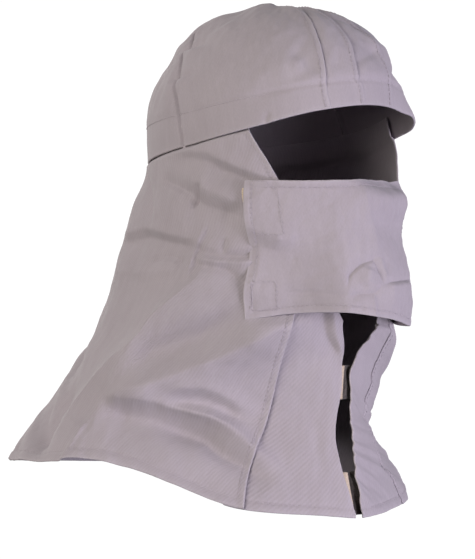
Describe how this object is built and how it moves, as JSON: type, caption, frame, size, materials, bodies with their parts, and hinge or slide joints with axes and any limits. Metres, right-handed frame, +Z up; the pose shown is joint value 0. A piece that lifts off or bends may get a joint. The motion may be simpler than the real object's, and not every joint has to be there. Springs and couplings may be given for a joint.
{
  "type": "cotton protective hood",
  "caption": "Cotton work hood: panelled cap, neck cape closed at the throat with hook-and-loop tape, and a face flap pressed over the cheeks, shaped as worn.",
  "frame": {"origin": "the seat where the top of the head meets the inside of the cap", "axes": "+Z up along the head, -Y is the way the wearer looks, -X is the wearer's right side"},
  "size_m": [0.3253, 0.2912, 0.362],
  "materials": {
    "cotton": "matt warm grey cotton twill with self-coloured stitching",
    "hook_and_loop": "matt beige hook-and-loop tape"
  },
  "bodies": {
    "root": {"crown_front_left": "cotton", "crown_front_right": "cotton", "crown_side_right": "cotton", "crown_back": "cotton", "crown_side_left": "cotton", "cape_body": "cotton", "cape_front_right": "cotton", "cape_front_left": "cotton", "face_flap": "cotton", "flap_pad_upper_right": "hook_and_loop", "flap_pad_upper_left": "hook_and_loop", "flap_pad_lower_right": "hook_and_loop", "flap_pad_lower_left": "hook_and_loop", "neck_tape_hook": "hook_and_loop", "neck_tape_loop": "hook_and_loop", "hem_tape_hook": "hook_and_loop", "hem_tape_loop": "hook_and_loop"}
  },
  "joints": []
}
